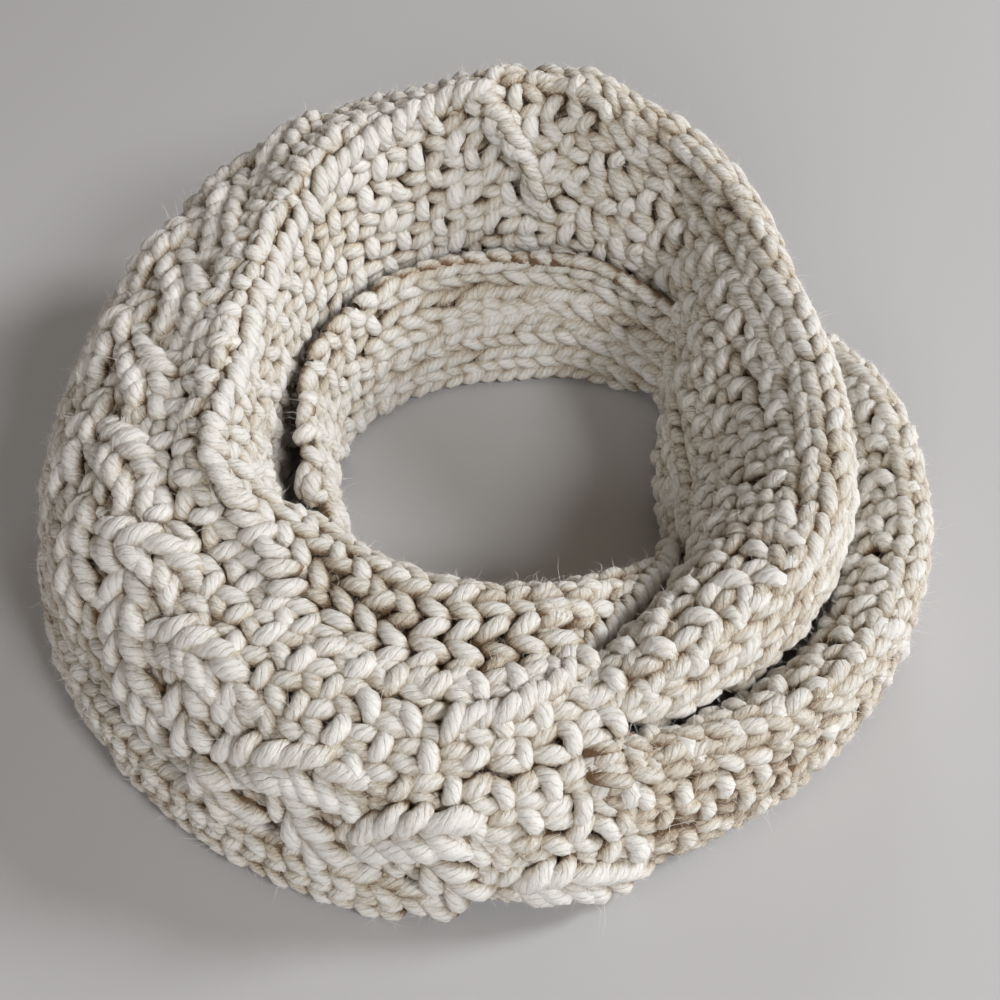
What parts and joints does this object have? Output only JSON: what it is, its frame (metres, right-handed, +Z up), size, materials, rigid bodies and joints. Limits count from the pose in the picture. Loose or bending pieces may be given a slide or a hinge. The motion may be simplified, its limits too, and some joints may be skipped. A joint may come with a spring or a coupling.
{
  "type": "infinity scarf",
  "caption": "Thick hand-knitted infinity scarf with plaited and moss-stitch panels, wound twice into a ring and laid flat, taller at the back.",
  "frame": {"origin": "on the table, under the middle of the scarf's box", "axes": "+Z up from the table; -Y is the low front, +Y the tall back, +X the side with the open gap between the turns"},
  "size_m": [0.3344, 0.3322, 0.1216],
  "materials": {
    "wool": "soft matte thick wool, hand knitted"
  },
  "bodies": {
    "root": {"upper_wrap_right": "wool", "upper_wrap_back": "wool", "upper_wrap_left": "wool", "front_wrap": "wool", "front_inner_edge": "wool", "lower_wrap_right": "wool", "inner_wrap_back": "wool", "inner_wrap_left": "wool", "under_wrap_left": "wool", "hidden_folds_right": "wool", "hidden_folds_back": "wool", "hidden_folds_left": "wool", "hidden_folds_front": "wool"}
  },
  "joints": []
}
